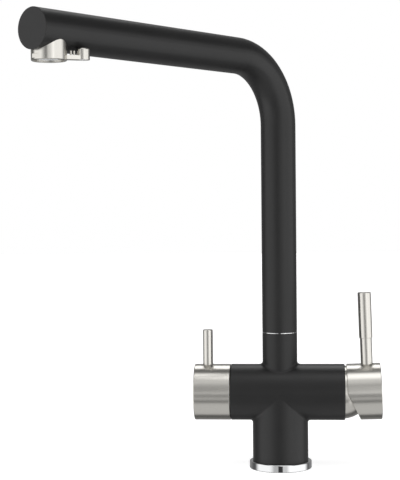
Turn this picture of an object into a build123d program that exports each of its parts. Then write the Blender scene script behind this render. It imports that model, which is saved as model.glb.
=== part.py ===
from build123d import *
import math
import os

# Three way filtered water tap. Millimetres, +Z up, origin at the centre of the base's underside.
# The barrel runs along X, the user stands at -Y, the spout is turned towards -X.

# ---------------------------------------------------------------- driving dimensions
# Body casting
barrel_z = 61.0                 # height of the barrel's axis
barrel_radius = 22.5
barrel_left = -39.6             # end that carries the filtered water knob
barrel_right = 51.9             # end that carries the mixer handle
barrel_edge = 0.9
pillar_inset = 0.2              # the pillar is this much slimmer than the barrel
pillar_wall = 3.8
pillar_fillet = 2.0
stub_radius = 14.0
stub_wall = 4.0
stub_height = 48.0              # from the barrel's axis
stub_bore_depth = 25.0
stub_fillet = 2.5

# Base
ring_overhang = 2.7             # past the pillar
ring_height = 6.0
ring_round = 0.8
ring_lip_height = 1.5           # lip under the pillar
ring_foot_edge = 0.4
gasket_thickness = 1.5
gasket_inset = 1.6              # from the ring's edge
pocket_depth = 27.0             # hollow in the pillar for hoses and studs

# Threaded holes in the pocket's ceiling
hose_circle = 10.2
hose_angle = 60.0               # hot and cold, each side of the barrel's axis
hose_hole_radius = 4.5          # M10 x 1
hose_thread_length = 12.0
stud_circle = 13.5
stud_angle = 120.0
stud_hole_radius = 3.4          # M8
stud_thread_length = 11.0
waterway_radius = 2.8

# Fits
slip = 0.05                     # radial clearance of shafts and plugs
running = 0.30                  # gap between faces that move past each other
overlap = 0.1                   # how far joined shapes reach into each other
beyond = 1.0                    # how far cutting shapes reach past a face

# Spout
spout_turn = 36.6               # degrees from straight ahead, towards the knob
spout_axis_z = 327.4
spout_reach = 260.8
bend_radius = 52.0
tube_wall = 1.5
end_cap_thickness = 2.0
end_cap_plug = 4.0
end_edge = 0.35
swivel_ring_height = 0.5
swivel_ring_inset = 0.35

# Swivel joint, heights above the floor of the stub's bore
spigot_bore_radius = 7.2
spigot_gap_below = 2.5
spigot_plug_length = 13.0       # in the tube
spigot_edge = 0.5
o_ring_section = 0.8            # radius of an O-ring's own section
o_ring_low = 7.0
o_ring_high = 19.0
groove_margin = 0.3
retain_height = 13.0
retain_groove_depth = 1.5
retain_groove_height = 4.4
set_screw_radius = 2.5
set_screw_point = 0.9           # the point is this much slimmer
set_screw_recess = 0.8
hex_socket_depth = 1.6

# Filtered water tube inside the spout
filter_tube_radius = 3.0
filter_tube_wall = 1.0
filter_socket_below = 2.3       # floor of its socket in the body, below the valve's outlet drilling
filter_tube_gap = 6.0           # the tube's foot above that floor
filter_tube_straight = 0.4      # straight end above the outlet housing
filter_end_entry = 2.6          # how far it goes into the housing
filter_seal_section = 0.55
filter_seal_height = 4.0        # above the tube's foot
mixed_rise_x = 7.2              # mixed water channel beside the socket
mixed_rise_radius = 2.3

# Outlet housing
outlet_inset = 14.8             # from the spout's end
outlet_radius = 12.0
outlet_height = 14.0
outlet_drop = 20.4              # lower rim below the spout's axis
outlet_edge = 0.5
outlet_mouth_radius = 10.2
outlet_mouth_depth = 1.3
outlet_inlet_radius = 5.5
flat_width = 7.8                # flat for a spanner at the front of the housing
flat_height = 2.8
flat_rise = 1.4                 # above the lower rim
aerator_radius = 8.3
aerator_length = 7.0
aerator_wall = 1.4
aerator_seal_thickness = 1.2
jet_plate_thickness = 1.2
jet_plate_depth = 1.0           # below the insert's top
jet_radius = 0.6
jet_count = 12
jet_circle = 4.7
screen_thickness = 0.9
screen_hole_radius = 0.62
screen_pitch = 1.7
screen_border = 0.4

# Filtered water nozzle and the lug that carries it
nozzle_behind = 19.6            # behind the aerator's centre
nozzle_side = 12.0              # towards the user's side of the spout
nozzle_radius = 4.5
nozzle_height = 7.8
nozzle_round = 1.1
nozzle_bore_radius = 3.2
nozzle_bore_depth = 4.6
lug_rise = 1.2                  # above the housing's lower rim
lug_height = 2.7
lug_width = 7.4
filter_way_radius = 0.9
pin_radius = 0.75
pin_height = 3.2
pin_fractions = (0.42, 0.76)    # of the lug's free length
spray_plate_thickness = 0.9
spray_plate_recess = 0.2
spray_hole_radius = 0.45
spray_hole_circle = 1.9
spray_hole_count = 6

# Filtered water valve, lengths from the floor of its pocket
valve_pocket_radius = 9.5
valve_pocket_depth = 24.6
valve_seal_thickness = 2.0
valve_seal_radius = 5.4
valve_disc_radius = 6.0
valve_disc_thickness = 3.0
valve_disc_rim = 1.2
valve_disc_bridge = 0.8
valve_cage_wall = 1.3
valve_cage_length = 12.0
valve_window_width = 5.0
valve_window_length = 2.0
valve_hex_across = 24.0
valve_hex_thickness = 4.4
spindle_radius = 4.0
spindle_collar_length = 3.0
spindle_ring_gap = 5.0          # O-ring past the cage
spindle_edge = 0.5
filter_out_height = 7.3         # outlet drilling above the barrel's axis

# Filtered water knob, lengths from its ends
knob_length = 28.9
knob_wall = 2.6
knob_cavity_depth = 12.6
knob_edge = 0.7
knob_near_edge = 0.25
spindle_cover = 6.3             # solid metal past the spindle's end
stick_inset = 10.7              # from the knob's outer end
stick_radius = 4.0
stick_height = 28.0             # above the knob
stick_socket_depth = 7.5
stick_edge = 0.6
knob_screw_radius = 2.0
knob_screw_length = 7.0

# Mixer cartridge, lengths from the floor of its pocket
cartridge_pocket_depth = 26.4
cartridge_radius = 17.5
cartridge_base_thickness = 4.0
port_radius = 2.0               # in the discs
port_side = 4.2                 # hot and cold, each side of the axis
port_rise = 5.0                 # hot and cold, above the axis
outlet_port_drop = 2.8
base_port_side = 6.4            # hot and cold in the casting and under the base
base_port_depth = 2.4           # where the base's wide ports meet the narrow ones
port_seal_width = 1.4
port_seal_thickness = 1.2
fixed_disc_thickness = 3.0
sliding_disc_radius = 11.4
sliding_disc_thickness = 3.0
mixing_hollow_radius = 4.4
mixing_hollow_depth = 1.6
carrier_thickness = 4.6
cartridge_wall = 3.0
cartridge_shell_length = 15.0
cartridge_lid = 2.0
cartridge_neck_radius = 12.0
cartridge_neck_length = 4.0
rotor_flange_radius = 13.5
rotor_flange_thickness = 2.0
rotor_radius = 9.2
rotor_past_pivot = 3.5
rotor_slot_width = 8.4
rotor_slot_length = 16.4
rotor_pin_radius = 1.5
rotor_pin_inset = 0.4
nut_overlap = 1.5               # the nut's thread is this much wider than the cartridge
nut_thickness = 4.6
nut_slots = 4
nut_slot_width = 4.0
nut_slot_depth = 1.8
nut_slot_height = 2.5

# Dome cover
dome_step = 1.3                 # smaller than the barrel
dome_wall = 1.3
dome_hole_radius = 15.0
dome_flange = 1.3
dome_sleeve_length = 2.2
dome_sleeve_wall = 1.3

# Mixer handle, lengths from the pivot
pivot_inset = 1.4               # pivot inside the barrel's end
handle_lean = -1.7              # the closed handle leans this much towards the body
handle_near = 3.6
handle_far = 30.3
handle_edge = 0.5
handle_clearance = 0.4          # round the dome
cut_angle = 22.8                # of the slanted cut, from upright
cut_start = 1.6                 # where the cut leaves the near face, above the axis
stem_width = 6.5
stem_hub = 8.0
stem_length = 26.0
stem_arm_radius = 1.4
stem_ball_radius = 2.0
socket_play = 0.4
socket_edge = 1.2
boss_start = 11.0
boss_radius = 6.2
boss_root = 2.0                 # boss reaches this far from the handle's outer face
lever_offset = 19.7
neck_radius = 4.75
neck_exposed = 20.4
neck_socket_depth = 6.5
neck_spigot_radius = 3.0
neck_spigot_length = 12.0
grip_radius = 5.35
grip_length = 36.7
grip_edge = 0.5
grip_foot_edge = 0.3
lever_screw_radius = 2.5
lever_screw_offset = 24.0
lever_screw_length = 8.0
plug_length = 3.0
plug_recess = 0.2

# ---------------------------------------------------------------- worked-out values
pillar_radius = barrel_radius - pillar_inset
pillar_foot = ring_lip_height + gasket_thickness
pocket_radius = pillar_radius - pillar_wall
pocket_ceiling = pillar_foot + pocket_depth
ring_radius = pillar_radius + ring_overhang
gasket_radius = ring_radius - gasket_inset
stub_top = barrel_z + stub_height
stub_bore_radius = stub_radius - stub_wall
stub_bore_floor = stub_top - stub_bore_depth
hose_x = hose_circle * math.cos(math.radians(hose_angle))
hose_y = hose_circle * math.sin(math.radians(hose_angle))
stud_x = stud_circle * math.cos(math.radians(stud_angle))
stud_y = stud_circle * math.sin(math.radians(stud_angle))

tube_radius = stub_radius
tube_bore = tube_radius - tube_wall
spout_foot = stub_top + swivel_ring_height + slip
spigot_radius = stub_bore_radius - slip
retain_z = stub_bore_floor + retain_height

filter_out_z = barrel_z + filter_out_height
filter_socket_floor = filter_out_z - filter_socket_below
filter_tube_foot = filter_socket_floor + filter_tube_gap
filter_socket_radius = filter_tube_radius + 2 * filter_seal_section + 2 * slip

outlet_distance = spout_reach - outlet_inset
outlet_bottom = spout_axis_z - outlet_drop
outlet_top = outlet_bottom + outlet_height
filter_tube_bend = spout_axis_z - outlet_top - filter_tube_straight
aerator_low = outlet_bottom + outlet_mouth_depth
aerator_high = aerator_low + aerator_length
filter_drop = outlet_distance - outlet_inlet_radius - filter_tube_radius + beyond
nozzle_distance = outlet_distance - nozzle_behind
lug_bottom = outlet_bottom + lug_rise
lug_top = lug_bottom + lug_height
lug_length = math.hypot(nozzle_behind, nozzle_side)
nozzle_top = lug_bottom + nozzle_height

valve_pocket_floor = barrel_left + valve_pocket_depth
knob_near = barrel_left - running
knob_end = knob_near - knob_length
spindle_end = knob_end + spindle_cover
stick_x = knob_end + stick_inset

cartridge_floor = barrel_right - cartridge_pocket_depth
port_z = barrel_z + port_rise
outlet_port_z = barrel_z - outlet_port_drop
nut_radius = cartridge_radius + nut_overlap
fixed_disc_radius = cartridge_radius - cartridge_wall - 4 * slip
fixed_disc_start = cartridge_base_thickness
sliding_disc_start = fixed_disc_start + fixed_disc_thickness + slip
carrier_start = sliding_disc_start + sliding_disc_thickness
carrier_end = carrier_start + carrier_thickness
shell_end = cartridge_base_thickness + cartridge_shell_length

pivot_x = barrel_right - pivot_inset
dome_radius = barrel_radius - dome_step
stem_ball_distance = pivot_x - cartridge_floor - (carrier_start + carrier_end) / 2
open_tilt = cut_angle           # the cut stands upright with the handle fully open
disc_travel = stem_ball_distance * math.radians(open_tilt - handle_lean)


# ---------------------------------------------------------------- helpers
def rod_z(radius, low, high, x=0.0, y=0.0):
    """Upright cylinder between two heights."""
    return Pos(x, y, (low + high) / 2) * Cylinder(radius, high - low)


def rod_x(radius, left, right, y=0.0, z=barrel_z):
    """Cylinder along X between two X values."""
    return Pos((left + right) / 2, y, z) * Rot(0, 90, 0) * Cylinder(radius, right - left)


def rod_y(radius, near, far, x=0.0, z=barrel_z):
    """Cylinder along Y between two Y values."""
    return Pos(x, (near + far) / 2, z) * Rot(90, 0, 0) * Cylinder(radius, far - near)


def ball(radius, x=0.0, z=0.0):
    """Sphere with its poles along X."""
    return Pos(x, 0, z) * Rot(0, 90, 0) * Sphere(radius)


def block(x_range, y_range, z_range):
    """Box between two corners."""
    size = [high - low for low, high in (x_range, y_range, z_range)]
    centre = [(high + low) / 2 for low, high in (x_range, y_range, z_range)]
    return Pos(*centre) * Box(*size)


def ring_z(outer, inner, low, high):
    """Upright tube between two heights."""
    return rod_z(outer, low, high) - rod_z(inner, low - beyond, high + beyond)


def ring_x(outer, inner, left, right, y=0.0, z=barrel_z):
    """Tube along X between two X values."""
    return rod_x(outer, left, right, y, z) - rod_x(inner, left - beyond, right + beyond, y, z)


def hex_socket(radius):
    """Socket of a set screw, from the origin upwards."""
    return extrude(RegularPolygon(radius / 2, 6, major_radius=False), hex_socket_depth)


def edges_at_x(shape, x):
    """Round edges that lie in the plane of this X value."""
    return shape.edges().filter_by(GeomType.CIRCLE).filter_by(lambda e: abs(e.center().X - x) < 1e-3)


def edges_at_y(shape, y):
    """Round edges that lie in the plane of this Y value."""
    return shape.edges().filter_by(GeomType.CIRCLE).filter_by(lambda e: abs(e.center().Y - y) < 1e-3)


def edges_at_z(shape, z):
    """Round edges that lie at this height."""
    return shape.edges().filter_by(GeomType.CIRCLE).filter_by(lambda e: abs(e.center().Z - z) < 1e-3)


def widest(edges):
    """The largest of some round edges."""
    return edges.sort_by(lambda e: e.radius)[-1]


def on_spout(shape):
    """Turn a piece modelled with the spout straight ahead to the spout's resting place."""
    return Rot(0, 0, -spout_turn) * shape


# ---------------------------------------------------------------- body
def make_body_casting():
    """Barrel, pillar and stub with their pockets, threads and waterways."""
    barrel = rod_x(barrel_radius, barrel_left, barrel_right)
    barrel = fillet(edges_at_x(barrel, barrel_left) + edges_at_x(barrel, barrel_right), barrel_edge)
    pillar = rod_z(pillar_radius, pillar_foot, barrel_z)
    body = barrel + pillar + rod_z(stub_radius, barrel_z, stub_top)
    body = fillet(seams(body, above=True), stub_fillet)
    body = fillet(seams(body, above=False), pillar_fillet)
    body -= rod_z(pocket_radius, pillar_foot - beyond, pocket_ceiling)
    for cut in threaded_holes() + waterways():
        body -= cut
    body -= rod_z(stub_bore_radius, stub_bore_floor, stub_top + beyond)
    body -= rod_x(valve_pocket_radius, barrel_left - beyond, valve_pocket_floor)
    body -= rod_x(cartridge_radius + slip, cartridge_floor, barrel_right + beyond)
    body -= rod_x(nut_radius, cartridge_x(shell_end) - nut_overlap, barrel_right + beyond)
    return body - rod_y(set_screw_radius, 0, stub_radius + beyond, z=retain_z)


def seams(body, above):
    """Curved edges where the upright parts meet the barrel, above or below its axis."""
    curved = body.edges().filter_by(GeomType.BSPLINE)
    return curved.filter_by(lambda e: (e.center().Z > barrel_z) == above)


def threaded_holes():
    """Three hose threads and two stud threads in the pocket's ceiling."""
    low = pocket_ceiling - beyond
    holes = [rod_z(hose_hole_radius, low, pocket_ceiling + hose_thread_length, x, y)
             for x, y in ((hose_x, hose_y), (hose_x, -hose_y), (-hose_circle, 0))]
    holes += [rod_z(stud_hole_radius, low, pocket_ceiling + stud_thread_length, stud_x, y)
              for y in (stud_y, -stud_y)]
    return holes


def waterways():
    """Drillings: hot, cold and filtered water in, mixed and filtered water out."""
    start = pocket_ceiling + hose_thread_length - beyond
    port_end = cartridge_floor + beyond
    cuts = []
    for y in (hose_y, -hose_y):
        cuts.append(rod_z(waterway_radius, start, port_z, hose_x, y))
        side = math.copysign(base_port_side, y)
        cuts.append(rod_x(waterway_radius, hose_x, port_end, side, port_z))
    cuts.append(rod_z(waterway_radius, start, barrel_z, -hose_circle, 0))
    cuts.append(rod_x(waterway_radius, valve_pocket_floor - beyond, -hose_circle + waterway_radius))
    cuts.append(rod_x(waterway_radius, mixed_rise_x - mixed_rise_radius, port_end, z=outlet_port_z))
    cuts.append(rod_z(mixed_rise_radius, outlet_port_z, stub_bore_floor + beyond, mixed_rise_x, 0))
    cuts.append(rod_z(filter_socket_radius, filter_socket_floor, stub_bore_floor + beyond))
    cuts.append(rod_x(filter_tube_radius - filter_tube_wall, valve_pocket_floor - beyond, 0.0,
                      z=filter_out_z))
    return cuts


def make_base_ring():
    """Chrome ring that the pillar stands in, with a groove for the gasket below."""
    ring = rod_z(ring_radius, 0, ring_height)
    ring = fillet(widest(edges_at_z(ring, ring_height)), ring_round)
    ring = chamfer(widest(edges_at_z(ring, 0)), ring_foot_edge)
    ring -= rod_z(pillar_radius + slip, pillar_foot, ring_height + beyond)
    ring -= rod_z(pocket_radius, -beyond, pillar_foot + beyond)
    return ring - rod_z(gasket_radius + slip, -beyond, gasket_thickness)


def make_base_gasket():
    """Rubber seal between the ring and the worktop."""
    return ring_z(gasket_radius, pocket_radius, 0, gasket_thickness)


def make_swivel_ring():
    """Thin bright ring between the stub and the spout."""
    return ring_z(stub_radius - swivel_ring_inset, stub_bore_radius + slip,
                  stub_top, stub_top + swivel_ring_height)


def make_spout_set_screw():
    """Set screw in the back of the stub, its point in the spigot's groove."""
    head = stub_radius - set_screw_recess
    foot = stub_bore_radius + slip
    point = spigot_radius - retain_groove_depth + running
    screw = rod_y(set_screw_radius, foot, head, z=retain_z)
    screw += rod_y(set_screw_radius - set_screw_point, point, foot + overlap, z=retain_z)
    return screw - Pos(0, head, retain_z) * Rot(90, 0, 0) * hex_socket(set_screw_radius)


# ---------------------------------------------------------------- spout
def spout_pipe(outer, inner, low, reach, drop=None):
    """Tube up from a height, round the bend and forward, and down to a height if one is given."""
    points = [(0, 0, low), (0, 0, spout_axis_z), (0, -reach, spout_axis_z)]
    radii = [bend_radius]
    if drop is not None:
        points.append((0, -reach, drop))
        radii.append(filter_tube_bend)
    path = FilletPolyline(*points, radius=radii)
    foot = Plane((0, 0, low), z_dir=(0, 0, 1))
    return sweep(foot * Circle(outer), path=path) - sweep(foot * Circle(inner), path=path)


def at_outlet(shape):
    """Move a piece modelled about the Z axis to the outlet of the straight-ahead spout."""
    return Pos(0, -outlet_distance, 0) * shape


def at_nozzle(shape):
    """Move a piece modelled about the Z axis to the filtered water nozzle."""
    return Pos(nozzle_side, -nozzle_distance, 0) * shape


def make_spout_tube():
    """Bent tube, cut for the outlet housing."""
    tube = spout_pipe(tube_radius, tube_bore, spout_foot, spout_reach - end_cap_thickness)
    return on_spout(tube - at_outlet(rod_z(outlet_radius + slip, outlet_bottom, outlet_top + slip)))


def make_spout_end_cap():
    """Flat end of the spout, with a plug inside the tube."""
    face = -spout_reach
    seam = face + end_cap_thickness
    cap = rod_y(tube_radius, face, seam, z=spout_axis_z)
    cap = fillet(edges_at_y(cap, face), end_edge)
    plug = rod_y(tube_bore - slip, seam - overlap, seam + end_cap_plug, z=spout_axis_z)
    plug -= at_outlet(rod_z(outlet_radius + 2 * slip, outlet_bottom, outlet_top + 2 * slip))
    return on_spout(cap + plug)


def make_spout_spigot():
    """Brass spigot fixed in the foot of the tube, turning in the stub."""
    foot = stub_bore_floor + spigot_gap_below
    head = spout_foot + spigot_plug_length
    spigot = rod_z(spigot_radius, foot, spout_foot + overlap)
    spigot = chamfer(edges_at_z(spigot, foot), spigot_edge)
    spigot += rod_z(tube_bore - slip, spout_foot, head)
    spigot -= rod_z(spigot_bore_radius, foot - beyond, head + beyond)
    half = o_ring_section + groove_margin
    for height in (stub_bore_floor + o_ring_low, stub_bore_floor + o_ring_high):
        spigot -= ring_z(spigot_radius + beyond, spigot_radius - 2 * o_ring_section,
                         height - half, height + half)
    half = retain_groove_height / 2
    spigot -= ring_z(spigot_radius + beyond, spigot_radius - retain_groove_depth,
                     retain_z - half, retain_z + half)
    return on_spout(spigot)


def make_spigot_o_rings():
    """Two O-rings in the spigot's grooves."""
    ring = Torus(spigot_radius - o_ring_section, o_ring_section - slip / 2)
    return Compound([Pos(0, 0, stub_bore_floor + height) * ring for height in (o_ring_low, o_ring_high)])


def make_filter_tube():
    """Inner tube that keeps the filtered water apart all the way to the outlet."""
    drop = outlet_top - filter_end_entry + slip
    bore = filter_tube_radius - filter_tube_wall
    return on_spout(spout_pipe(filter_tube_radius, bore, filter_tube_foot, filter_drop, drop))


def make_filter_tube_seal():
    """O-ring between the inner tube and its socket in the body."""
    ring = Torus(filter_tube_radius + filter_seal_section + slip, filter_seal_section)
    return Pos(0, 0, filter_tube_foot + filter_seal_height) * ring


# ---------------------------------------------------------------- outlet
def lug_turn():
    """Direction of the lug from the housing, in degrees from X."""
    return math.degrees(math.atan2(nozzle_behind, nozzle_side))


def along_lug(shape):
    """Turn a piece modelled along X from the housing's axis into the lug's direction."""
    return at_outlet(Rot(0, 0, lug_turn()) * shape)


def make_outlet_housing():
    """Aerator housing with the lug and the small filtered water nozzle."""
    housing = rod_z(outlet_radius, outlet_bottom, outlet_top)
    housing = chamfer(edges_at_z(housing, outlet_bottom), outlet_edge)
    flat_face = math.sqrt(outlet_radius ** 2 - (flat_width / 2) ** 2)
    flat_low = outlet_bottom + flat_rise
    housing -= block((-flat_width, flat_width), (-outlet_radius - beyond, -flat_face),
                     (flat_low, flat_low + flat_height))
    housing = at_outlet(housing)
    nozzle = rod_z(nozzle_radius, lug_bottom, nozzle_top)
    nozzle = at_nozzle(fillet(edges_at_z(nozzle, nozzle_top), nozzle_round))
    nozzle -= rod_y(tube_radius + 2 * slip, -outlet_distance, 0, z=spout_axis_z)
    housing += along_lug(block((0, lug_length), (-lug_width / 2, lug_width / 2), (lug_bottom, lug_top)))
    housing += nozzle
    free = lug_length - outlet_radius - nozzle_radius
    for fraction in pin_fractions:
        housing += along_lug(rod_z(pin_radius, lug_top - overlap, lug_top + pin_height,
                                   outlet_radius + free * fraction))
    return on_spout(housing - outlet_passages())


def outlet_passages():
    """Aerator seat, water inlets and the filtered water drillings."""
    seat_top = aerator_high + aerator_seal_thickness
    cuts = at_outlet(rod_z(outlet_mouth_radius, outlet_bottom - beyond, aerator_low))
    cuts += at_outlet(rod_z(aerator_radius, outlet_bottom, seat_top))
    cuts += at_outlet(rod_z(outlet_inlet_radius, outlet_bottom, outlet_top + beyond))
    socket_floor = outlet_top - filter_end_entry
    cuts += rod_z(filter_tube_radius + slip, socket_floor, outlet_top + beyond, 0, -filter_drop)
    cuts += filtered_ways(socket_floor)
    return cuts + at_nozzle(rod_z(nozzle_bore_radius, lug_bottom - beyond, lug_bottom + nozzle_bore_depth))


def filtered_ways(socket_floor):
    """Drillings from the inner tube's socket across, down beside the aerator and out along the lug."""
    way_z = (lug_bottom + lug_top) / 2
    way_distance = (aerator_radius + outlet_radius) / 2
    ways = along_lug(rod_x(filter_way_radius, way_distance, lug_length, z=way_z))
    ways += along_lug(rod_z(filter_way_radius, way_z, socket_floor, way_distance, 0))
    across_x = way_distance * nozzle_side / lug_length
    across_y = filter_drop - outlet_distance + way_distance * nozzle_behind / lug_length
    turn = math.degrees(math.atan2(across_y, across_x))
    across = rod_x(filter_way_radius, 0, math.hypot(across_x, across_y), z=socket_floor)
    return ways + Pos(0, -filter_drop, 0) * Rot(0, 0, turn) * across


def make_aerator_insert():
    """Plastic aerator body with its inner jet plate."""
    bore = aerator_radius - aerator_wall
    insert = ring_z(aerator_radius - slip, bore, aerator_low, aerator_high)
    plate_high = aerator_high - jet_plate_depth
    plate_low = plate_high - jet_plate_thickness
    plate = rod_z(bore + overlap, plate_low, plate_high)
    for jet in PolarLocations(jet_circle, jet_count):
        plate -= jet * rod_z(jet_radius, plate_low - beyond, plate_high + beyond)
    return on_spout(at_outlet(insert + plate))


def make_aerator_screen():
    """Honeycomb plate seen in the mouth of the outlet."""
    radius = aerator_radius - aerator_wall - slip
    plate = rod_z(radius, aerator_low, aerator_low + screen_thickness)
    rows = int(radius / screen_pitch) + 2
    holes = []
    for row in range(-rows, rows + 1):
        for column in range(-rows, rows + 1):
            x = (column + (row % 2) / 2) * screen_pitch
            y = row * screen_pitch * math.sqrt(3) / 2
            if math.hypot(x, y) + screen_hole_radius < radius - screen_border:
                holes.append(rod_z(screen_hole_radius, aerator_low - beyond,
                                   aerator_low + screen_thickness + beyond, x, y))
    return on_spout(at_outlet(plate - holes))


def make_aerator_seal():
    """Rubber washer above the aerator."""
    seal = ring_z(aerator_radius - slip, outlet_inlet_radius, aerator_high,
                  aerator_high + aerator_seal_thickness)
    return on_spout(at_outlet(seal))


def make_filter_spray_plate():
    """Small plate with seven holes in the filtered water nozzle."""
    low = lug_bottom + spray_plate_recess
    high = low + spray_plate_thickness
    plate = rod_z(nozzle_bore_radius - slip, low, high)
    hole = rod_z(spray_hole_radius, low - beyond, high + beyond)
    plate -= hole
    for place in PolarLocations(spray_hole_circle, spray_hole_count):
        plate -= place * hole
    return on_spout(at_nozzle(plate))


# ---------------------------------------------------------------- filtered water valve
def valve_x(distance):
    """X at a distance outwards from the floor of the valve's pocket."""
    return valve_pocket_floor - distance


def valve_disc(start, opening_radius):
    """Ceramic disc with two opposite openings of a bit under a quarter turn."""
    left, right = valve_x(start + valve_disc_thickness), valve_x(start)
    disc = rod_x(valve_disc_radius, left, right, z=0)
    opening = rod_x(opening_radius, left - beyond, right + beyond, z=0)
    corner = block((left - beyond, right + beyond), (valve_disc_bridge, opening_radius),
                   (valve_disc_bridge, opening_radius))
    return disc - (opening & corner) - (opening & Rot(180, 0, 0) * corner)


def make_filter_valve_seal():
    """Rubber seat under the ceramic discs."""
    return ring_x(valve_seal_radius, waterway_radius, valve_x(valve_seal_thickness), valve_x(0))


def make_filter_fixed_disc():
    """Ceramic disc that stays still."""
    opening_radius = valve_disc_radius - valve_disc_rim
    return Pos(0, 0, barrel_z) * valve_disc(valve_seal_thickness, opening_radius)


def make_filter_turning_disc():
    """Ceramic disc that turns with the spindle, notched at its edge, across the fixed one when shut."""
    start = valve_seal_thickness + valve_disc_thickness + slip
    return Pos(0, 0, barrel_z) * Rot(90, 0, 0) * valve_disc(start, valve_disc_radius + beyond)


def spindle_start():
    """Inner end of the spindle's collar, from the pocket's floor."""
    return valve_seal_thickness + 2 * valve_disc_thickness + slip


def make_filter_valve_body():
    """Brass valve body screwed into the end of the barrel, with its hexagon inside the knob."""
    cage_bore = valve_disc_radius + slip
    cage = cage_bore + valve_cage_wall
    inside = spindle_start() + spindle_collar_length + slip
    body = rod_x(cage, valve_x(valve_cage_length + beyond), valve_x(valve_seal_thickness))
    body += rod_x(valve_pocket_radius - slip, barrel_left - overlap, valve_x(valve_cage_length))
    hexagon = extrude(RegularPolygon(valve_hex_across / 2, 6, major_radius=False), valve_hex_thickness)
    body += Pos(barrel_left - valve_hex_thickness, 0, barrel_z) * Rot(0, 90, 0) * hexagon
    body -= rod_x(cage_bore, valve_x(inside), valve_x(0))
    body -= rod_x(spindle_radius + slip, barrel_left - valve_hex_thickness - beyond, valve_x(0))
    window_start = valve_seal_thickness + valve_disc_thickness + slip
    window = block((valve_x(window_start + valve_window_length), valve_x(window_start)),
                   (-cage - beyond, cage + beyond),
                   (barrel_z - valve_window_width / 2, barrel_z + valve_window_width / 2))
    return body - window


def make_filter_spindle():
    """Spindle from the turning disc out to the knob."""
    start = spindle_start()
    spindle = rod_x(spindle_radius, spindle_end, valve_x(start))
    spindle = chamfer(edges_at_x(spindle, spindle_end), spindle_edge)
    spindle += rod_x(valve_disc_radius, valve_x(start + spindle_collar_length), valve_x(start))
    half = o_ring_section + groove_margin
    return spindle - ring_x(spindle_radius + beyond, spindle_radius - 2 * o_ring_section,
                            spindle_ring_x() - half, spindle_ring_x() + half)


def spindle_ring_x():
    """X of the spindle's O-ring."""
    return valve_x(valve_cage_length + spindle_ring_gap)


def make_spindle_o_ring():
    """O-ring on the spindle."""
    ring = Torus(spindle_radius - o_ring_section, o_ring_section - slip / 2)
    return Pos(spindle_ring_x(), 0, barrel_z) * Rot(0, 90, 0) * ring


# ---------------------------------------------------------------- filtered water knob
def make_filter_knob():
    """Plain round knob with the stick's socket on top and the set screw's hole below."""
    knob = rod_x(barrel_radius, knob_end, knob_near)
    knob = fillet(edges_at_x(knob, knob_end), knob_edge)
    knob = chamfer(edges_at_x(knob, knob_near), knob_near_edge)
    knob -= rod_x(barrel_radius - knob_wall, knob_near - knob_cavity_depth, knob_near + beyond)
    knob -= rod_x(spindle_radius + slip, spindle_end - running, knob_near)
    top = barrel_z + barrel_radius
    knob -= rod_z(stick_radius, top - stick_socket_depth, top + beyond, stick_x)
    return knob - rod_z(knob_screw_radius, barrel_z - barrel_radius - beyond, barrel_z, stick_x)


def make_filter_stick():
    """Thin stick that turns the knob."""
    foot = barrel_z + barrel_radius - stick_socket_depth
    head = barrel_z + barrel_radius + stick_height
    stick = rod_z(stick_radius, foot, head, stick_x)
    return fillet(edges_at_z(stick, head), stick_edge)


def make_knob_set_screw():
    """Set screw that holds the knob on the spindle."""
    high = barrel_z - spindle_radius - slip
    low = high - knob_screw_length
    screw = rod_z(knob_screw_radius, low, high, stick_x)
    return screw - Pos(stick_x, 0, low) * hex_socket(knob_screw_radius)


# ---------------------------------------------------------------- mixer cartridge
def cartridge_x(distance):
    """X at a distance outwards from the floor of the cartridge's pocket."""
    return cartridge_floor + distance


def port_places(side):
    """Y and Z of the two inlets, this far to each side, and of the outlet."""
    return [(side, port_z), (-side, port_z), (0.0, outlet_port_z)]


def make_cartridge_base():
    """Plastic bottom of the cartridge: wide ports with seals outside, narrow ones to the discs."""
    outside, end = cartridge_x(-beyond), cartridge_x(cartridge_base_thickness)
    base = rod_x(cartridge_radius, cartridge_x(0), end)
    for y, z in port_places(base_port_side):
        base -= rod_x(waterway_radius, outside, cartridge_x(base_port_depth), y, z)
        base -= rod_x(waterway_radius + port_seal_width, outside, cartridge_x(port_seal_thickness), y, z)
    for y, z in port_places(port_side):
        base -= rod_x(port_radius, cartridge_x(base_port_depth - overlap), end + beyond, y, z)
    return base


def make_cartridge_seals():
    """Three rubber rings between the cartridge and the casting."""
    outer = waterway_radius + port_seal_width - slip
    return Compound([ring_x(outer, waterway_radius, cartridge_x(0), cartridge_x(port_seal_thickness), y, z)
                     for y, z in port_places(base_port_side)])


def make_cartridge_fixed_disc():
    """Ceramic disc that stays still, with three ports."""
    start = cartridge_x(fixed_disc_start)
    end = start + fixed_disc_thickness
    disc = rod_x(fixed_disc_radius, start, end)
    for y, z in port_places(port_side):
        disc -= rod_x(port_radius, start - beyond, end + beyond, y, z)
    return disc


def sliding_disc_z():
    """Height of the sliding disc's centre when shut: its travel is even about the axis."""
    return barrel_z - disc_travel / 2


def make_cartridge_sliding_disc():
    """Ceramic disc that the stem slides and turns, with a mixing hollow in its underside."""
    start = sliding_disc_start
    disc = rod_x(sliding_disc_radius, cartridge_x(start), cartridge_x(carrier_start), z=sliding_disc_z())
    return disc - rod_x(mixing_hollow_radius, cartridge_x(start - beyond),
                        cartridge_x(start + mixing_hollow_depth), z=sliding_disc_z())


def make_disc_carrier():
    """Plastic carrier on the sliding disc, with the socket for the stem's ball."""
    socket_z = barrel_z + stem_ball_distance * math.sin(math.radians(handle_lean))
    start, end = cartridge_x(carrier_start), cartridge_x(carrier_end)
    carrier = rod_x(sliding_disc_radius, start, end, z=sliding_disc_z())
    carrier -= rod_x(stem_ball_radius + socket_play, start - beyond, end + beyond, z=socket_z)
    mouth = edges_at_x(carrier, end).sort_by(lambda e: e.radius)[0]
    return chamfer(mouth, socket_edge)


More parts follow.
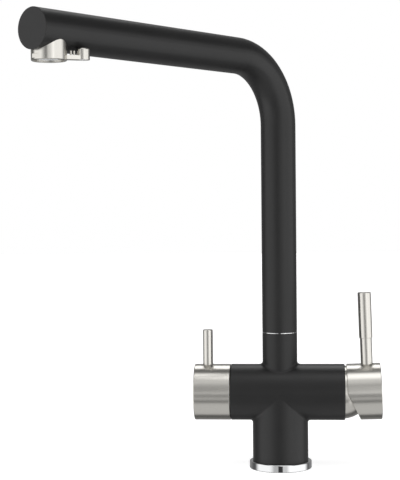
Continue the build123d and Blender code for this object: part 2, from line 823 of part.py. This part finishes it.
def make_cartridge_housing():
    """Plastic shell round the discs, with the neck that the rotor turns in."""
    start = cartridge_x(cartridge_base_thickness)
    end = cartridge_x(shell_end)
    neck_end = end + cartridge_neck_length
    housing = rod_x(cartridge_radius, start, end) + rod_x(cartridge_neck_radius, start, neck_end)
    housing -= rod_x(cartridge_radius - cartridge_wall, start - beyond, end - cartridge_lid)
    return housing - rod_x(rotor_radius + slip, start, neck_end + beyond)


def make_cartridge_rotor():
    """Rotor that turns with the handle, slotted for the stem."""
    flange_top = cartridge_x(shell_end - cartridge_lid) - 2 * slip
    flange_low = flange_top - rotor_flange_thickness
    end = pivot_x + rotor_past_pivot
    rotor = rod_x(rotor_flange_radius, flange_low, flange_top) + rod_x(rotor_radius, flange_low, end)
    rotor -= block((flange_low - beyond, end + beyond), (-rotor_slot_width / 2, rotor_slot_width / 2),
                   (barrel_z - rotor_slot_length / 2, barrel_z + rotor_slot_length / 2))
    return rotor - rod_y(rotor_pin_radius, -rotor_radius, rotor_radius, x=pivot_x)


def make_rotor_pin():
    """Steel pin that the stem tilts on."""
    half = rotor_radius - rotor_pin_inset
    return rod_y(rotor_pin_radius, -half, half, x=pivot_x)


def make_cartridge_nut():
    """Brass ring nut that clamps the cartridge in the barrel."""
    low, high = cartridge_x(shell_end), cartridge_x(shell_end + nut_thickness)
    bore = cartridge_neck_radius + running
    nut = ring_x(nut_radius - slip, bore, low, high)
    for step in range(nut_slots):
        slot = block((high - nut_slot_depth, high + beyond), (-nut_slot_width / 2, nut_slot_width / 2),
                     (0, bore + nut_slot_height))
        nut -= Pos(0, 0, barrel_z) * Rot(step * 360 / nut_slots, 0, 0) * slot
    return nut


def make_dome_cover():
    """Dome over the cartridge, set into the end of the barrel."""
    front = rod_x(dome_radius + beyond, barrel_right, pivot_x + dome_radius + beyond)
    outside = ball(dome_radius, pivot_x, barrel_z) & front
    dome = outside - ball(dome_radius - dome_wall, pivot_x, barrel_z)
    sleeve = nut_radius - slip
    sleeve_bore = sleeve - dome_sleeve_wall
    sleeve_end = barrel_right - dome_sleeve_length
    dome += ring_x(dome_radius, sleeve_bore, barrel_right, barrel_right + dome_flange) & outside
    dome += ring_x(sleeve, sleeve_bore, sleeve_end, barrel_right + overlap)
    return dome - rod_x(dome_hole_radius, barrel_right, pivot_x + dome_radius + beyond)


# ---------------------------------------------------------------- mixer handle
def on_lever(shape):
    """Put a piece modelled square to the pivot at the closed handle's lean."""
    return Pos(pivot_x, 0, barrel_z) * Rot(0, handle_lean, 0) * shape


def make_lever_cap():
    """Handle cap with the slanted cut, hollow round the dome."""
    cap = rod_x(barrel_radius, handle_near, handle_far, z=0)
    cap = fillet(edges_at_x(cap, handle_far), handle_edge)
    cap -= ball(dome_radius + handle_clearance)
    cap += rod_x(boss_radius, boss_start, handle_far - boss_root, z=0)
    size = 2 * handle_far
    half_space = block((-size, 0), (-size, size), (-size, size))
    cap -= Pos(handle_near, 0, cut_start) * Rot(0, -cut_angle, 0) * half_space
    half = stem_width / 2 + slip
    cap -= block((boss_start - beyond, stem_length + slip), (-half, half), (-half, half))
    cap -= rod_z(neck_radius, barrel_radius - neck_socket_depth, barrel_radius + beyond, lever_offset)
    return on_lever(cap - rod_y(lever_screw_radius, 0, barrel_radius + beyond, x=lever_screw_offset, z=0))


def make_cartridge_stem():
    """Metal stem from the disc carrier through the rotor to the handle."""
    half = stem_width / 2
    hub = stem_hub / 2
    stem = block((-hub, hub), (-hub, hub), (-hub, hub))
    stem += block((0, stem_length), (-half, half), (-half, half))
    stem += rod_x(stem_arm_radius, -stem_ball_distance, 0, z=0)
    stem += ball(stem_ball_radius, -stem_ball_distance)
    return on_lever(stem - rod_y(rotor_pin_radius + slip, -stem_hub, stem_hub, z=0))


def make_lever_neck():
    """Thinner lower part of the lever, with a spigot for the grip."""
    foot = barrel_radius - neck_socket_depth
    step = barrel_radius + neck_exposed
    neck = rod_z(neck_radius, foot, step, lever_offset)
    neck += rod_z(neck_spigot_radius, step - overlap, step + neck_spigot_length, lever_offset)
    return on_lever(neck)


def make_lever_grip():
    """Thicker upper part of the lever."""
    step = barrel_radius + neck_exposed
    head = step + grip_length
    grip = rod_z(grip_radius, step, head, lever_offset)
    grip = fillet(edges_at_z(grip, head), grip_edge)
    grip = chamfer(edges_at_z(grip, step), grip_foot_edge)
    bore_top = step + neck_spigot_length + running
    return on_lever(grip - rod_z(neck_spigot_radius, step - beyond, bore_top, lever_offset))


def make_lever_set_screw():
    """Set screw in the back of the handle, tight on the stem."""
    near = stem_width / 2 + slip
    far = near + lever_screw_length
    screw = rod_y(lever_screw_radius, near, far, x=lever_screw_offset, z=0)
    return on_lever(screw - Pos(lever_screw_offset, far, 0) * Rot(90, 0, 0) * hex_socket(lever_screw_radius))


def make_lever_screw_plug():
    """Plug that hides the set screw's hole."""
    far = barrel_radius - plug_recess
    return on_lever(rod_y(lever_screw_radius, far - plug_length, far, x=lever_screw_offset, z=0))


# ---------------------------------------------------------------- export
pieces = {
    "body_casting": make_body_casting,
    "base_ring": make_base_ring,
    "base_gasket": make_base_gasket,
    "swivel_ring": make_swivel_ring,
    "spout_set_screw": make_spout_set_screw,
    "spout_tube": make_spout_tube,
    "spout_end_cap": make_spout_end_cap,
    "spout_spigot": make_spout_spigot,
    "spigot_o_rings": make_spigot_o_rings,
    "filter_tube": make_filter_tube,
    "filter_tube_seal": make_filter_tube_seal,
    "outlet_housing": make_outlet_housing,
    "aerator_insert": make_aerator_insert,
    "aerator_screen": make_aerator_screen,
    "aerator_seal": make_aerator_seal,
    "filter_spray_plate": make_filter_spray_plate,
    "filter_valve_body": make_filter_valve_body,
    "filter_valve_seal": make_filter_valve_seal,
    "filter_fixed_disc": make_filter_fixed_disc,
    "filter_turning_disc": make_filter_turning_disc,
    "filter_spindle": make_filter_spindle,
    "spindle_o_ring": make_spindle_o_ring,
    "filter_knob": make_filter_knob,
    "filter_stick": make_filter_stick,
    "knob_set_screw": make_knob_set_screw,
    "cartridge_base": make_cartridge_base,
    "cartridge_seals": make_cartridge_seals,
    "cartridge_housing": make_cartridge_housing,
    "cartridge_fixed_disc": make_cartridge_fixed_disc,
    "cartridge_sliding_disc": make_cartridge_sliding_disc,
    "disc_carrier": make_disc_carrier,
    "cartridge_rotor": make_cartridge_rotor,
    "rotor_pin": make_rotor_pin,
    "cartridge_stem": make_cartridge_stem,
    "cartridge_nut": make_cartridge_nut,
    "dome_cover": make_dome_cover,
    "lever_cap": make_lever_cap,
    "lever_neck": make_lever_neck,
    "lever_grip": make_lever_grip,
    "lever_set_screw": make_lever_set_screw,
    "lever_screw_plug": make_lever_screw_plug,
}

os.makedirs("parts", exist_ok=True)
for name, make in pieces.items():
    export_step(make(), f"parts/{name}.step")
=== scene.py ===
"""Looks of the three way filtered water tap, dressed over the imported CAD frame. Metres, +Z up."""
import math

import bpy
from mathutils import Matrix, Vector


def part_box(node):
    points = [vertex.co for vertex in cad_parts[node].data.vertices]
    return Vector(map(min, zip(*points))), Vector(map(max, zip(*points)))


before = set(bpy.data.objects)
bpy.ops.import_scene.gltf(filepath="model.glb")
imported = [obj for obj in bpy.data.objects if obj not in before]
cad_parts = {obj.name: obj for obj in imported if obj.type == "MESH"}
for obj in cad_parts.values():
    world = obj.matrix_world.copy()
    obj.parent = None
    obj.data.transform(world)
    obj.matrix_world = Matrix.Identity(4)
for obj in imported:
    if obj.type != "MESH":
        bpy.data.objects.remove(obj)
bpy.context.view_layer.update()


def middle(piece):
    """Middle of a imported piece's box."""
    low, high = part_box(piece)
    return (low + high) / 2


# Lathe axes of the tap's turned pieces: a point on each, and how it lies. The outlet housing has a
# lug on one side, so its axis is the aerator's.
BARREL_AXIS = Vector((0.0, 0.0, middle("filter_knob").z))
STICK_AXIS = middle("filter_stick")
OUTLET_AXIS = middle("aerator_insert")
LEVER_AXIS = middle("lever_grip")
SPOUT_AXIS = (0.0, 0.0, 0.0)
AXIS_ALONG_X = (0.0, math.radians(90.0), 0.0)
AXIS_ALONG_Z = (0.0, 0.0, 0.0)
LEVER_LEAN = (0.0, math.radians(-1.7), 0.0)

# Camera, fitted to the edges of the photograph's round parts: metres, degrees and millimetres
CAMERA_PLACE = (0.02338, -1.04986, 0.20318)
CAMERA_YAW, CAMERA_PITCH, CAMERA_ROLL = 4.75, 1.04, -0.52
CAMERA_LENS = 97.563
CAMERA_SENSOR = 36.0

# Floor: width, how far it lies under the base, paleness and glow
FLOOR_SIZE = 12.0
FLOOR_DROP = 0.0002
FLOOR_PALE = 0.92
FLOOR_GLOW = 0.66

# Light that comes from everywhere in the studio
STUDIO_DIM = 0.13
# Fill behind the tap: brightness, and how far back it starts and is full
BACK_LIGHT = 0.17
BACK_REACH = (-0.45, -0.85)
# Panels that arch over the tap: lower and upper angle from the front, over the top, softness in
# degrees, half width, brightness. Their ends fade over a share of the half width.
ARCH_PANELS = (
    (-96.0, -46.0, 12.0, 0.60, 0.58),
    (-24.0, 1.0, 8.0, 0.45, 0.52),
    (6.0, 60.0, 8.0, 0.45, 0.34),
    (44.0, 84.0, 12.0, 0.35, 0.38),
    (68.0, 80.0, 12.0, 0.35, 1.45),
    (120.0, 136.0, 7.0, 0.14, 2.30),
)
ARCH_END_FADE = 0.6
# Panels that stand beside the tap: left and right angle from the front, towards +X, softness in
# degrees, lower and upper edge, brightness
SIDE_PANELS = (
    (-84.0, -46.0, 26.0, -0.6, 0.45, 1.28),
    (3.0, 42.0, 3.0, -0.08, 0.35, 0.50),
    (46.0, 98.0, 26.0, -0.5, 0.26, 1.38),
)
SIDE_EDGE_FADE = 0.2
# Dark gaps between the panels in front, above and below the camera: left and right angle, softness
# in degrees, lower and upper edge, strength
FRONT_GAPS = (
    (-14.0, -3.5, 3.0, 0.08, 0.40, 0.70),
    (-6.0, 7.0, 3.5, -0.26, -0.07, 0.92),
)
GAP_EDGE_FADE = 0.08

# Nearly all of a noise lies between these, so a finish spreads that much over its own range
NOISE_USUAL = (0.3, 0.7)
# How far lathe lines vary along themselves, per radian, against across themselves, per metre
LATHE_AROUND = 0.35
LATHE_ACROSS = 1.0
# Quarter turn of the gloss, which then stretches across the lathe lines
GLOSS_TURN = 0.25
# Roughness differs by this much on either side of a finish's own
ROUGHNESS_PLAY = 0.05


# ---------------------------------------------------------------- node helpers
def new_material(name):
    """Material with only a Principled shader and an output."""
    material = bpy.data.materials.new(name)
    material.use_nodes = True
    tree = material.node_tree
    return material, tree, tree.nodes["Principled BSDF"]


def add(tree, kind, **settings):
    """New node with its properties and input values set."""
    node = tree.nodes.new(kind)
    for key, value in settings.items():
        if hasattr(node, key):
            setattr(node, key, value)
        else:
            node.inputs[key.replace("_", " ")].default_value = value
    return node


def sum_of(tree, operation, first, second):
    """Result of a sum on two sockets or numbers."""
    node = add(tree, "ShaderNodeMath", operation=operation)
    for socket, value in zip(node.inputs, (first, second)):
        if isinstance(value, (int, float)):
            socket.default_value = value
        else:
            tree.links.new(value, socket)
    return node.outputs["Value"]


def object_place(tree, centre=(0.0, 0.0, 0.0), turn=(0.0, 0.0, 0.0)):
    """Object coordinates measured from a piece's own axis."""
    coordinates = add(tree, "ShaderNodeTexCoord")
    mapping = add(tree, "ShaderNodeMapping", vector_type="TEXTURE")
    mapping.inputs["Location"].default_value = centre
    mapping.inputs["Rotation"].default_value = turn
    tree.links.new(coordinates.outputs["Object"], mapping.inputs["Vector"])
    return mapping.outputs["Vector"]


def lathe_place(tree, centre, turn):
    """Coordinates that change fast across lathe lines and slowly along them."""
    place = object_place(tree, centre, turn)
    parts = add(tree, "ShaderNodeSeparateXYZ")
    tree.links.new(place, parts.inputs["Vector"])
    flat = add(tree, "ShaderNodeCombineXYZ")
    tree.links.new(parts.outputs["X"], flat.inputs["X"])
    tree.links.new(parts.outputs["Y"], flat.inputs["Y"])
    radius = add(tree, "ShaderNodeVectorMath", operation="LENGTH")
    tree.links.new(flat.outputs["Vector"], radius.inputs[0])
    round_axis = sum_of(tree, "ARCTAN2", parts.outputs["Y"], parts.outputs["X"])
    lines = add(tree, "ShaderNodeCombineXYZ")
    for value, socket, factor in ((radius.outputs["Value"], "X", LATHE_ACROSS),
                                  (parts.outputs["Z"], "Y", LATHE_ACROSS),
                                  (round_axis, "Z", LATHE_AROUND)):
        tree.links.new(sum_of(tree, "MULTIPLY", value, factor), lines.inputs[socket])
    return lines.outputs["Vector"]


def noise(tree, vector, scale, detail=2.0, roughness=0.5):
    """Noise read at a place, as one number from 0 to 1."""
    node = add(tree, "ShaderNodeTexNoise", Scale=scale, Detail=detail, Roughness=roughness)
    tree.links.new(vector, node.inputs["Vector"])
    return node.outputs["Fac"]


def spread(tree, factor, low, high):
    """A noise's usual range spread between two values."""
    node = add(tree, "ShaderNodeMapRange")
    node.inputs["From Min"].default_value, node.inputs["From Max"].default_value = NOISE_USUAL
    node.inputs["To Min"].default_value = low
    node.inputs["To Max"].default_value = high
    tree.links.new(factor, node.inputs["Value"])
    return node.outputs["Result"]


def tint(tree, shader, factor, first, second):
    """Base colour between two, by a factor."""
    node = add(tree, "ShaderNodeMix", data_type="RGBA")
    node.inputs["A"].default_value = (*first, 1.0)
    node.inputs["B"].default_value = (*second, 1.0)
    tree.links.new(factor, node.inputs["Factor"])
    tree.links.new(node.outputs["Result"], shader.inputs["Base Color"])


def roughen(tree, shader, factor, low, high):
    """Roughness between two values, by a noise."""
    tree.links.new(spread(tree, factor, low, high), shader.inputs["Roughness"])


def bump(tree, shader, height, strength, distance):
    """Relief on a shader from a height."""
    node = add(tree, "ShaderNodeBump", Strength=strength, Distance=distance)
    tree.links.new(height, node.inputs["Height"])
    tree.links.new(node.outputs["Normal"], shader.inputs["Normal"])


# ---------------------------------------------------------------- finishes
def satin_black_coat():
    """Powder coat: deep grey, even, with a fine grain."""
    material, tree, shader = new_material("satin_black_coat")
    place = object_place(tree)
    cloud = noise(tree, place, scale=38.0, detail=3.0)
    grain = noise(tree, place, scale=2600.0, roughness=0.6)
    tint(tree, shader, cloud, (0.0104, 0.0104, 0.0107), (0.0136, 0.0135, 0.0136))
    roughen(tree, shader, cloud, low=0.35, high=0.41)
    shader.inputs["Specular IOR Level"].default_value = 0.33
    bump(tree, shader, grain, strength=0.12, distance=0.00006)
    return material


def polished_chrome():
    """Mirror chrome with the faintest wiping marks."""
    material, tree, shader = new_material("polished_chrome")
    marks = noise(tree, object_place(tree), scale=210.0, detail=4.0, roughness=0.7)
    shader.inputs["Base Color"].default_value = (0.66, 0.665, 0.67, 1.0)
    shader.inputs["Metallic"].default_value = 1.0
    roughen(tree, shader, marks, low=0.035, high=0.07)
    return material


def turned_metal(name, light, dark, roughness, centre, turn, stretch=0.7):
    """Lathe-brushed metal: lines run round the piece's own axis, and stretch the gloss."""
    material, tree, shader = new_material(name)
    lines = lathe_place(tree, centre, turn)
    fine = noise(tree, lines, scale=5200.0, detail=3.0, roughness=0.65)
    broad = noise(tree, lines, scale=620.0)
    tint(tree, shader, broad, light, dark)
    roughen(tree, shader, fine, roughness - ROUGHNESS_PLAY, roughness + ROUGHNESS_PLAY)
    shader.inputs["Metallic"].default_value = 1.0
    shader.inputs["Anisotropic"].default_value = stretch
    shader.inputs["Anisotropic Rotation"].default_value = GLOSS_TURN
    axis = "X" if turn == AXIS_ALONG_X else "Z"
    tangent = add(tree, "ShaderNodeTangent", direction_type="RADIAL", axis=axis)
    tree.links.new(tangent.outputs["Tangent"], shader.inputs["Tangent"])
    bump(tree, shader, fine, strength=0.06, distance=0.00002)
    return material


def brushed_nickel(name, centre, turn):
    """Fine brushed nickel round an axis."""
    return turned_metal(name, (0.64, 0.625, 0.585), (0.57, 0.555, 0.52), 0.27, centre, turn,
                        stretch=0.50)


def turned_brass(name, centre, turn):
    """Uncoated turned brass, slightly dulled."""
    return turned_metal(name, (0.78, 0.58, 0.28), (0.66, 0.47, 0.22), 0.30, centre, turn)


def machined_steel():
    """Plain machined stainless steel."""
    return turned_metal("machined_steel", (0.56, 0.56, 0.57), (0.48, 0.48, 0.49), 0.32,
                        BARREL_AXIS, AXIS_ALONG_X)


def ground_ceramic():
    """White ceramic of the discs, lapped smooth."""
    material, tree, shader = new_material("ground_ceramic")
    cloud = noise(tree, object_place(tree), scale=90.0, detail=3.0)
    tint(tree, shader, cloud, (0.86, 0.85, 0.82), (0.92, 0.91, 0.88))
    roughen(tree, shader, cloud, low=0.16, high=0.26)
    return material


def moulded(name, first, second, roughness):
    """Moulded plastic with a slight grain."""
    material, tree, shader = new_material(name)
    place = object_place(tree)
    cloud = noise(tree, place, scale=60.0, detail=3.0)
    grain = noise(tree, place, scale=1900.0)
    tint(tree, shader, cloud, first, second)
    roughen(tree, shader, cloud, roughness - ROUGHNESS_PLAY, roughness + ROUGHNESS_PLAY)
    bump(tree, shader, grain, strength=0.10, distance=0.00004)
    return material


def black_rubber():
    """Matte seal rubber with a bloom."""
    material, tree, shader = new_material("black_rubber")
    place = object_place(tree)
    bloom = noise(tree, place, scale=140.0, detail=4.0, roughness=0.6)
    grain = noise(tree, place, scale=2400.0)
    tint(tree, shader, bloom, (0.014, 0.014, 0.015), (0.030, 0.030, 0.031))
    roughen(tree, shader, bloom, low=0.62, high=0.80)
    bump(tree, shader, grain, strength=0.15, distance=0.00005)
    return material


def dress_pieces():
    """Put each finish on the slots of its pieces."""
    finishes = {
        satin_black_coat(): ("body_casting", "spout_tube", "spout_end_cap"),
        polished_chrome(): ("base_ring", "swivel_ring"),
        brushed_nickel("brushed_nickel_barrel", BARREL_AXIS, AXIS_ALONG_X): (
            "filter_knob", "lever_cap", "dome_cover"),
        brushed_nickel("brushed_nickel_stick", STICK_AXIS, AXIS_ALONG_Z): ("filter_stick",),
        brushed_nickel("brushed_nickel_lever", LEVER_AXIS, LEVER_LEAN): (
            "lever_neck", "lever_grip"),
        brushed_nickel("brushed_nickel_outlet", OUTLET_AXIS, AXIS_ALONG_Z): ("outlet_housing",),
        turned_brass("turned_brass_barrel", BARREL_AXIS, AXIS_ALONG_X): (
            "filter_valve_body", "filter_spindle", "cartridge_nut"),
        turned_brass("turned_brass_spigot", SPOUT_AXIS, AXIS_ALONG_Z): ("spout_spigot",),
        machined_steel(): (
            "spout_set_screw", "knob_set_screw", "rotor_pin", "cartridge_stem",
            "lever_set_screw"),
        ground_ceramic(): (
            "filter_fixed_disc", "filter_turning_disc", "cartridge_fixed_disc",
            "cartridge_sliding_disc"),
        black_rubber(): (
            "base_gasket", "spigot_o_rings", "filter_tube_seal", "aerator_seal",
            "filter_valve_seal", "spindle_o_ring", "cartridge_seals"),
        moulded("grey_plastic", (0.50, 0.51, 0.52), (0.58, 0.59, 0.60), 0.42): (
            "aerator_insert", "aerator_screen", "filter_spray_plate", "cartridge_base",
            "cartridge_housing", "disc_carrier", "cartridge_rotor"),
        moulded("white_tube", (0.78, 0.78, 0.75), (0.84, 0.84, 0.81), 0.34): ("filter_tube",),
        moulded("plated_plastic", (0.50, 0.49, 0.47), (0.58, 0.57, 0.55), 0.30): (
            "lever_screw_plug",),
    }
    for finish, names in finishes.items():
        for name in names:
            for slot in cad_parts[name].material_slots:
                slot.material = finish


# ---------------------------------------------------------------- camera and floor
def make_camera():
    """Camera where the photograph was taken from."""
    camera = bpy.data.cameras.new("camera")
    camera.sensor_fit = "VERTICAL"
    camera.sensor_height = CAMERA_SENSOR
    camera.lens = CAMERA_LENS
    camera.clip_start = 0.01
    camera.clip_end = 50.0
    holder = bpy.data.objects.new("camera", camera)
    bpy.context.scene.collection.objects.link(holder)
    yaw = Matrix.Rotation(math.radians(CAMERA_YAW), 4, "Z")
    pitch = Matrix.Rotation(math.radians(90.0 - CAMERA_PITCH), 4, "X")
    roll = Matrix.Rotation(math.radians(CAMERA_ROLL), 4, "Z")
    holder.matrix_world = Matrix.Translation(CAMERA_PLACE) @ yaw @ pitch @ roll
    bpy.context.scene.camera = holder


def make_floor():
    """Plain pale floor under the tap, left out of the gloss so that the metal keeps dark edges."""
    bpy.ops.mesh.primitive_plane_add(size=FLOOR_SIZE, location=(0.0, 0.0, -FLOOR_DROP))
    floor = bpy.context.object
    floor.name = "floor"
    floor.visible_glossy = False
    material, tree, shader = new_material("pale_floor")
    shader.inputs["Base Color"].default_value = (FLOOR_PALE, FLOOR_PALE, FLOOR_PALE, 1.0)
    shader.inputs["Roughness"].default_value = 0.9
    shader.inputs["Specular IOR Level"].default_value = 0.0
    shader.inputs["Emission Color"].default_value = (1.0, 1.0, 1.0, 1.0)
    shader.inputs["Emission Strength"].default_value = FLOOR_GLOW
    floor.data.materials.append(material)


# ---------------------------------------------------------------- light
def rise(tree, value, first, last):
    """Smooth rise from 0 to 1 as a socket goes from one value to another."""
    node = add(tree, "ShaderNodeMapRange", interpolation_type="SMOOTHSTEP")
    node.inputs["From Min"].default_value = first
    node.inputs["From Max"].default_value = last
    tree.links.new(value, node.inputs["Value"])
    return node.outputs["Result"]


def window(tree, value, low, high, soft):
    """1 between two values, with soft edges outside them."""
    return sum_of(tree, "MULTIPLY", rise(tree, value, low - soft, low),
                  rise(tree, value, high + soft, high))


def angle(tree, along, across):
    """Angle of a direction in degrees, from one axis towards another."""
    return sum_of(tree, "MULTIPLY", sum_of(tree, "ARCTAN2", across, along), 180.0 / math.pi)


def with_panel(tree, light, panel, level):
    """Light with a panel of some brightness added to it."""
    return sum_of(tree, "ADD", light, sum_of(tree, "MULTIPLY", panel, level))


def with_gap(tree, light, gap, strength):
    """Light darkened where a gap is."""
    shade = sum_of(tree, "SUBTRACT", 1.0, sum_of(tree, "MULTIPLY", gap, strength))
    return sum_of(tree, "MULTIPLY", light, shade)


def make_world():
    """Studio of soft panels round the tap, plain white where the camera looks past it."""
    world = bpy.data.worlds.new("studio")
    bpy.context.scene.world = world
    world.use_nodes = True
    tree = world.node_tree
    place = add(tree, "ShaderNodeTexCoord")
    parts = add(tree, "ShaderNodeSeparateXYZ")
    tree.links.new(place.outputs["Generated"], parts.inputs["Vector"])
    sideways, upwards = parts.outputs["X"], parts.outputs["Z"]
    forward = sum_of(tree, "MULTIPLY", parts.outputs["Y"], -1.0)
    aside = angle(tree, forward, sideways)
    over = angle(tree, forward, upwards)
    back = sum_of(tree, "MULTIPLY", rise(tree, forward, *BACK_REACH), BACK_LIGHT)
    light = sum_of(tree, "ADD", STUDIO_DIM, back)
    for low, high, soft, reach, level in ARCH_PANELS:
        panel = sum_of(tree, "MULTIPLY", window(tree, over, low, high, soft),
                       window(tree, sideways, -reach, reach, reach * ARCH_END_FADE))
        light = with_panel(tree, light, panel, level)
    for left, right, soft, bottom, top, level in SIDE_PANELS:
        panel = sum_of(tree, "MULTIPLY", window(tree, aside, left, right, soft),
                       window(tree, upwards, bottom, top, SIDE_EDGE_FADE))
        light = with_panel(tree, light, panel, level)
    for left, right, soft, bottom, top, strength in FRONT_GAPS:
        gap = sum_of(tree, "MULTIPLY", window(tree, aside, left, right, soft),
                     window(tree, upwards, bottom, top, GAP_EDGE_FADE))
        light = with_gap(tree, light, gap, strength)
    path = add(tree, "ShaderNodeLightPath")
    seen = add(tree, "ShaderNodeMix", data_type="FLOAT")
    seen.inputs["B"].default_value = 1.0
    tree.links.new(path.outputs["Is Camera Ray"], seen.inputs["Factor"])
    tree.links.new(light, seen.inputs["A"])
    background = tree.nodes["Background"]
    background.inputs["Color"].default_value = (1.0, 1.0, 1.0, 1.0)
    tree.links.new(seen.outputs["Result"], background.inputs["Strength"])


dress_pieces()
make_camera()
make_floor()
make_world()
bpy.context.scene.view_settings.view_transform = "Standard"
bpy.context.scene.view_settings.look = "None"
